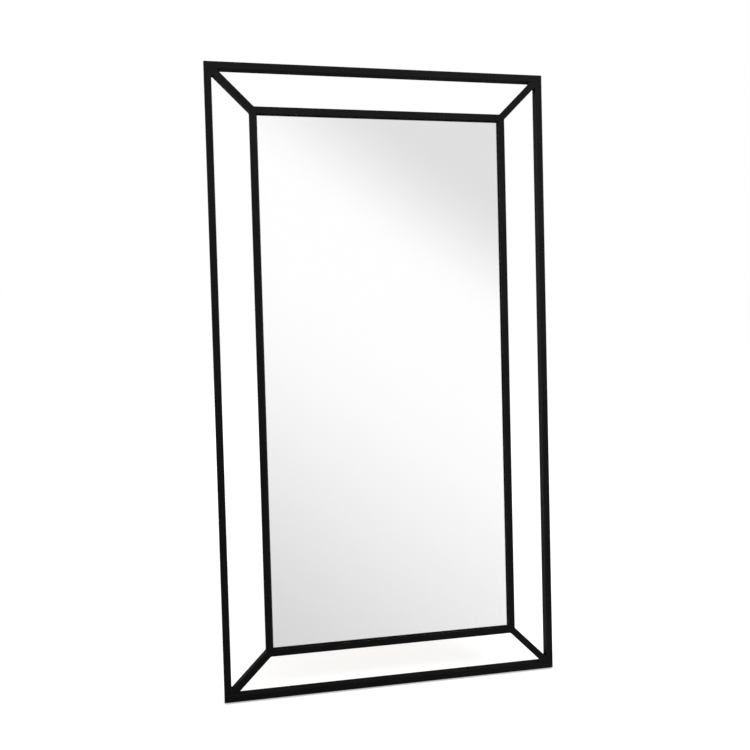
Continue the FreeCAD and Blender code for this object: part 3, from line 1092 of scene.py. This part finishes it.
@dataclass
class Hangers:
    """Straps, rings and their screws."""

    zinc: Finish

    def dress(self, nodes: Nodes) -> None:
        """Plates everything that hangs the mirror."""
        names = [name for name in nodes if name.startswith("hanger_")]
        dress_nodes(nodes, [*names, "strap_screws"], self.zinc)


@dataclass
class RubberFeet:
    """Floor pads, and the bumpers that keep the frame off the wall."""

    bench: Bench
    rubber: Finish
    foot_share: float = 0.96
    foot_mm: float = 0.2
    flange_mm: float = 1.2
    step_mm: float = 0.4
    waist_share: float = 0.9
    lip_mm: float = 0.9
    lip_points: int = 7
    dish_share: float = 0.672
    dish_mm: float = 2.2
    dish_points: int = 8
    around: int = 48

    def dress(self, nodes: Nodes) -> None:
        """Gives the pads their finish."""
        dress_nodes(nodes, [f"floor_pad_{side}" for side in UPRIGHTS], self.rubber)

    def bumpers(self) -> None:
        """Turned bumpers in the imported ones' places, each with a flange and a dished face."""
        for level in LEVELS:
            for side in UPRIGHTS:
                node = f"wall_bumper_{level}_{side}"
                low, high = self.bench.extents(node)
                skin = self.turned((low + high) / 2, (high[0] - low[0]) / 2, high[2] - low[2])
                piece = self.bench.piece(f"moulded_{node}", [skin])
                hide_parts(node)
                finish_piece(piece, Slot.RUBBER, self.rubber)

    def turned(self, middle: np.ndarray, radius: float, height: float) -> Skin:
        """A bumper's surface.

        The profile runs from the back plane out: a foot that is drawn in a little, a straight
        flange, a step in to the waist, a straight wall, a quarter-round lip, a flat ring, and a
        dish whose depth grows towards the middle as a cosine. It is turned about the bumper's
        axis.

        Args:
            middle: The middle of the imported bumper, on the bench.
            radius: Its radius.
            height: Its height above the back plane.

        Returns:
            Points and faces on the bench.
        """
        flange, lip = self.flange_mm * MM, self.lip_mm * MM
        waist = radius * self.waist_share
        bend = np.linspace(0, QUARTER_TURN, self.lip_points)
        bowl = np.linspace(1, 0, self.dish_points + 1)[:-1]
        lip_radius = waist - lip + lip * np.cos(bend)
        lip_height = height - lip + lip * np.sin(bend)
        bowl_radius = (waist - lip) * self.dish_share * bowl
        bowl_height = height - self.dish_mm * MM * np.cos(bowl * QUARTER_TURN)
        foot_radius = [radius * self.foot_share, radius, radius, waist]
        foot_height = [0, self.foot_mm * MM, flange, flange + self.step_mm * MM]
        radii = np.concatenate([foot_radius, lip_radius, bowl_radius])
        heights = np.concatenate([foot_height, lip_height, bowl_height])
        turn = np.linspace(0, 2 * np.pi, self.around, endpoint=False)
        ring = np.stack([np.cos(turn), -np.sin(turn), np.zeros_like(turn)], -1)
        centre = np.array([middle[0], middle[1], 0])
        return closed_loft(centre + radii[:, None, None] * ring - heights[:, None, None] * OUT_OF_BENCH)


# ---- the studio ----


@dataclass(frozen=True)
class View:
    """Where the photograph was taken from, in metres and degrees."""

    place: Vector = (-0.41305, -2.05796, 1.28338)
    heading: float = 10.431
    tilt: float = -10.113
    focal_pixels: float = 726.2
    picture_pixels: float = 750
    sensor_mm: float = 36

    def add(self) -> None:
        """Makes the camera and sets it as the scene's."""
        data = bpy.data.cameras.new("camera")
        data.sensor_width = self.sensor_mm
        data.lens = self.focal_pixels * self.sensor_mm / self.picture_pixels
        camera = bpy.data.objects.new("camera", data)
        camera.location = self.place
        camera.rotation_euler = (math.radians(90 + self.tilt), 0, math.radians(-self.heading))
        bpy.context.scene.collection.objects.link(camera)
        bpy.context.scene.camera = camera


@dataclass(frozen=True)
class SoftLamp:
    """A square soft lamp, aimed at the mirror's middle and seen in no reflection."""

    name: str
    place: Vector
    side: float
    watts: float

    def add(self) -> None:
        """Makes the lamp and turns it towards the middle of the model."""
        data = bpy.data.lights.new(self.name, "AREA")
        data.size = self.side
        data.energy = self.watts
        lamp = bpy.data.objects.new(self.name, data)
        lamp.location = self.place
        low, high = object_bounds()
        aim = (low + high) / 2 - lamp.location
        lamp.rotation_euler = aim.to_track_quat("-Z", "Y").to_euler()
        lamp.visible_glossy = False
        lamp.visible_transmission = False
        lamp.visible_camera = False
        bpy.context.scene.collection.objects.link(lamp)


@dataclass
class Studio:
    """A pale floor, a white surround with one soft bright sweep, and two large soft lamps.

    The mirror shows the sweep, which lies across sweep_axis. On each side of it the light first
    falls and, further round, rises again: below where sweep_axis points away, above where it
    points to. Paint and metal show the room instead.
    """

    sky_level: float = 0.72
    floor_colour: Colour = (0.8, 0.8, 0.8)
    floor_lift: float = 0.42
    floor_size: float = 40
    sweep_axis: Vector = (0.589, 0.141, 0.796)
    sweep_level: float = 1.112
    fall_below: float = 0.436
    fall_below_span: Span = (-0.124, 0.502)
    fall_above: float = 0.257
    fall_above_span: Span = (0.201, 0.346)
    rise_below: float = 0.3
    rise_below_span: Span = (0.5, 0.95)
    rise_above: float = 0.2
    rise_above_span: Span = (0.42, 0.85)
    room_axis: Vector = (0, -0.6, 0.8)
    room_level: float = 0.05
    window_level: float = 0.17
    window_span: Span = (0.5, 1.0)
    side_level: float = 0.85
    side_span: Span = (0.22, 0.6)
    lamps: tuple[SoftLamp, ...] = (
        SoftLamp("overhead", (0.8, -1.6, 4.2), 2.6, 90),
        SoftLamp("rear_fill", (-1.6, 3.2, 2.8), 2.4, 45),
    )

    def floor(self) -> None:
        """A floor that reads as white and keeps the object's shadow."""
        half = self.floor_size / 2
        corners = [(-half, -half, 0), (half, -half, 0), (half, half, 0), (-half, half, 0)]
        mesh = bpy.data.meshes.new("floor")
        mesh.from_pydata(corners, [], [(0, 1, 2, 3)])
        floor = bpy.data.objects.new("floor", mesh)
        bpy.context.scene.collection.objects.link(floor)
        floor.visible_glossy = False
        floor.visible_transmission = False
        material = bpy.data.materials.new("pale_floor")
        material.use_nodes = True
        graph = Graph(material.node_tree)
        seen = graph.node("ShaderNodeLightPath", output=Ray.CAMERA.value)
        lit = graph.node("ShaderNodeBsdfDiffuse", {}, {"Color": (*self.floor_colour, 1)})
        glow = graph.node("ShaderNodeEmission", {}, {"Strength": seen * self.floor_lift})
        both = graph.node("ShaderNodeAddShader", {}, {0: lit, 1: glow})
        graph.node("ShaderNodeOutputMaterial", {}, {"Surface": both})
        mesh.materials.append(material)
        floor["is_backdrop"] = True

    def surround(self) -> None:
        """White to the camera, the sweep to the mirror, the room to gloss, and an even sky besides."""
        world = bpy.data.worlds.new("surround")
        bpy.context.scene.world = world
        world.use_nodes = True
        world.cycles.sampling_method = "NONE"
        graph = Graph(world.node_tree)
        direction = graph.node("ShaderNodeTexCoord", output="Generated")
        rays = graph.node("ShaderNodeLightPath")
        level = graph.choose(rays.output(Ray.GLOSSY.value), self.sky_level, self._room(graph, direction))
        level = graph.choose(rays.output(Ray.THROUGH_GLASS.value), level, self._sweep(graph, direction))
        level = graph.choose(rays.output(Ray.CAMERA.value), level, 1.0)
        light = graph.node("ShaderNodeBackground", {}, {"Color": (1, 1, 1, 1), "Strength": level})
        graph.node("ShaderNodeOutputWorld", {}, {"Surface": light})

    def _sweep(self, graph: Graph, direction: Signal) -> Signal:
        """What the mirror shows: a bright slanting band that falls off smoothly on both sides.

        Args:
            graph: The world's graph.
            direction: The way that a ray leaves.

        Returns:
            The light's level there.
        """
        along = graph.dot(direction, self.sweep_axis)
        back = 0 - along
        near = (self.fall_below * back.rise(*self.fall_below_span)
                + self.fall_above * along.rise(*self.fall_above_span))
        far = (self.rise_below * back.rise(*self.rise_below_span)
               + self.rise_above * along.rise(*self.rise_above_span))
        return self.sweep_level * (1 - near + far)

    def _room(self, graph: Graph, direction: Signal) -> Signal:
        """What paint and metal reflect: a dim room, lighter high up in front, with pale sides.

        Args:
            graph: The world's graph.
            direction: The way that a ray leaves.

        Returns:
            The light's level there.
        """
        towards = graph.dot(direction, self.room_axis).rise(*self.window_span)
        across = graph.dot(direction, ACROSS)
        sides = (across * across).rise(*self.side_span)
        return self.room_level + self.window_level * towards + self.side_level * sides

    def build(self) -> None:
        """Sets up the whole studio."""
        self.floor()
        self.surround()
        for lamp in self.lamps:
            lamp.add()
        bpy.context.scene.view_settings.view_transform = "Standard"
        View().add()


def main() -> None:
    """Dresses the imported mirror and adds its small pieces."""
    logging.basicConfig(level=logging.INFO, format="%(name)s: %(message)s")
    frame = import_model()
    nodes = frame["nodes"]
    bench = Bench.from_frame(frame)
    front = tuple(bench.front)
    paint = PowderCoat("black_powder_coat")
    zinc = ZincPlate("zinc_plate")

    welded = WeldedFrame(bench, paint)
    welded.dress(nodes)
    welded.strut_welds()
    welded.mitre_seams()
    pane = MirrorPane(
        bench,
        glass=FloatGlass("float_glass", front),
        silver=Silvering("painted_silver", front),
        seal=SealBead("silicone_bead"),
        tape=FoamTape("foam_tape"),
    )
    pane.dress(nodes)
    pane.ground_pane()
    backing = Backing(bench, FibreBoard("fibre_board", front), paint, zinc)
    backing.dress(nodes)
    backing.tab_welds(nodes)
    Hangers(zinc).dress(nodes)
    feet = RubberFeet(bench, MouldedRubber("moulded_rubber"))
    feet.dress(nodes)
    feet.bumpers()
    Studio().build()


if __name__ == "__main__":
    main()
